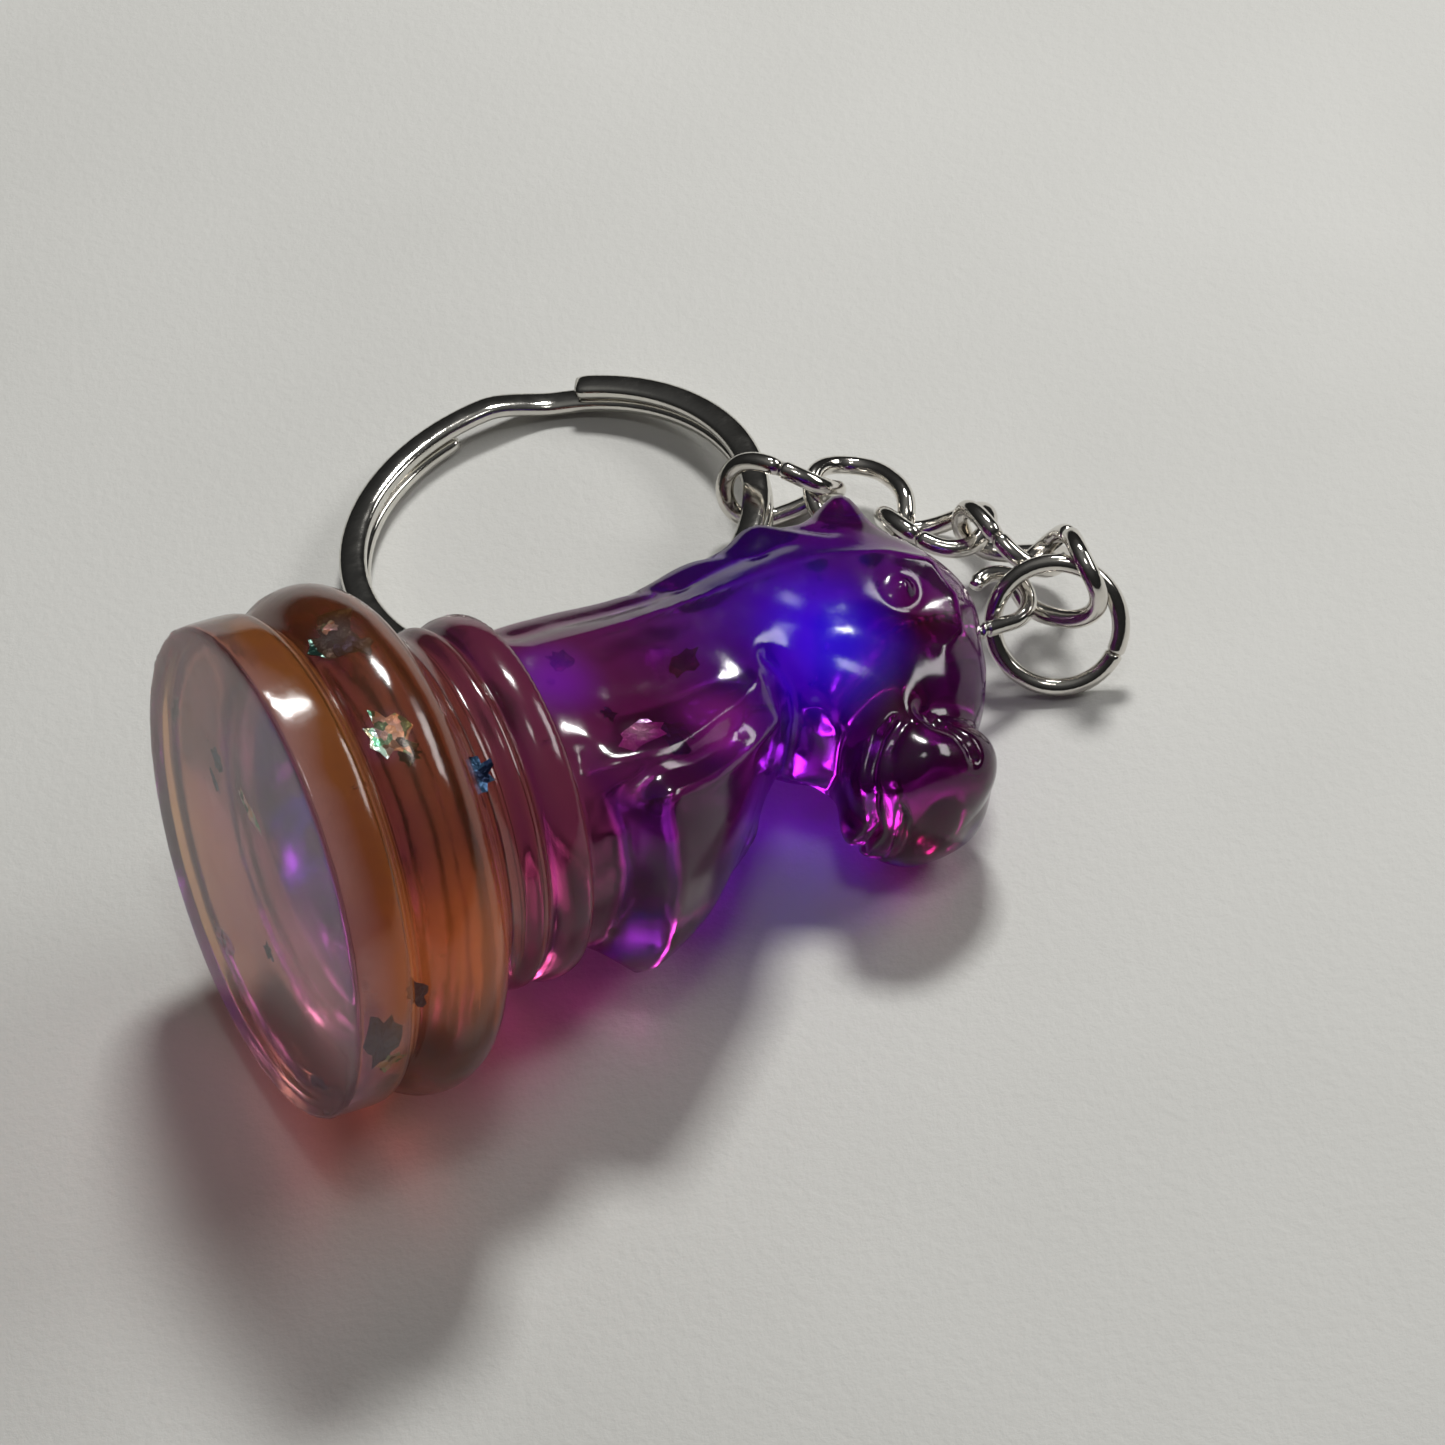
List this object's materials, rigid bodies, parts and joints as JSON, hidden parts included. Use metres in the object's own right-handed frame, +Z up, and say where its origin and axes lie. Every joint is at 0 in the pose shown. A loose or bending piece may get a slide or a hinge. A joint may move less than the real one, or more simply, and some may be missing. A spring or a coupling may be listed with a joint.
{
  "type": "chess knight keychain",
  "caption": "Chess knight cast in clear coloured resin, with a screw eye in its head, a jump ring, a short curb chain and a split ring for keys.",
  "frame": {"origin": "centre of the bounding box, at the height of the surface that the keychain lies on", "axes": "+Z up from the surface, +Y across the table from the knight towards the split ring, +X from the knight's flat foot side towards its head"},
  "size_m": [0.0534, 0.0561, 0.0276],
  "materials": {
    "resin": "clear cast resin, polished, dyed from amber at the foot to violet at the head, with foil flakes",
    "nickel": "bright nickel plate"
  },
  "bodies": {
    "knight": {"knight_casting": "resin", "screw_eye": "nickel"},
    "jump_ring": {"jump_ring": "nickel"},
    "chain_link_1": {"chain_link_1": "nickel"},
    "chain_link_2": {"chain_link_2": "nickel"},
    "chain_link_3": {"chain_link_3": "nickel"},
    "chain_link_4": {"chain_link_4": "nickel"},
    "chain_link_5": {"chain_link_5": "nickel"},
    "split_ring": {"split_ring": "nickel"}
  },
  "joints": [
    {"name": "jump_ring_swing", "type": "hinge", "parent": "knight", "child": "jump_ring", "pos_m": [0.02101, 0.00192, 0.00492], "axis": [-0.7541, 0.5161, 0.4061], "range_deg": [-6, 2]},
    {"name": "chain_link_1_swing", "type": "hinge", "parent": "jump_ring", "child": "chain_link_1", "pos_m": [0.02598, -0.00075, 0.0048], "axis": [-0.3111, 0.5922, 0.7433], "range_deg": [-1, 2]},
    {"name": "chain_link_2_swing", "type": "hinge", "parent": "chain_link_1", "child": "chain_link_2", "pos_m": [0.02177, 0.00343, 0.00362], "axis": [0.6362, 0.7462, 0.1961], "range_deg": [0, 5]},
    {"name": "chain_link_3_swing", "type": "hinge", "parent": "chain_link_2", "child": "chain_link_3", "pos_m": [0.01923, 0.00766, 0.00289], "axis": [-0.258, 0.236, 0.9369], "range_deg": [-15, 3]},
    {"name": "chain_link_4_swing", "type": "hinge", "parent": "chain_link_3", "child": "chain_link_4", "pos_m": [0.0153, 0.01084, 0.00195], "axis": [-0.3771, -0.1911, 0.9063], "range_deg": [-15, 1]},
    {"name": "chain_link_5_swing", "type": "hinge", "parent": "chain_link_4", "child": "chain_link_5", "pos_m": [0.01144, 0.01304, 0.00316], "axis": [-0.1549, -0.9265, -0.3428], "range_deg": [-10, 0]},
    {"name": "split_ring_swing", "type": "hinge", "parent": "chain_link_5", "child": "split_ring", "pos_m": [0.00751, 0.01417, 0.00124], "axis": [-0.7837, 0.064, 0.6178], "range_deg": [-8, 1]}
  ]
}
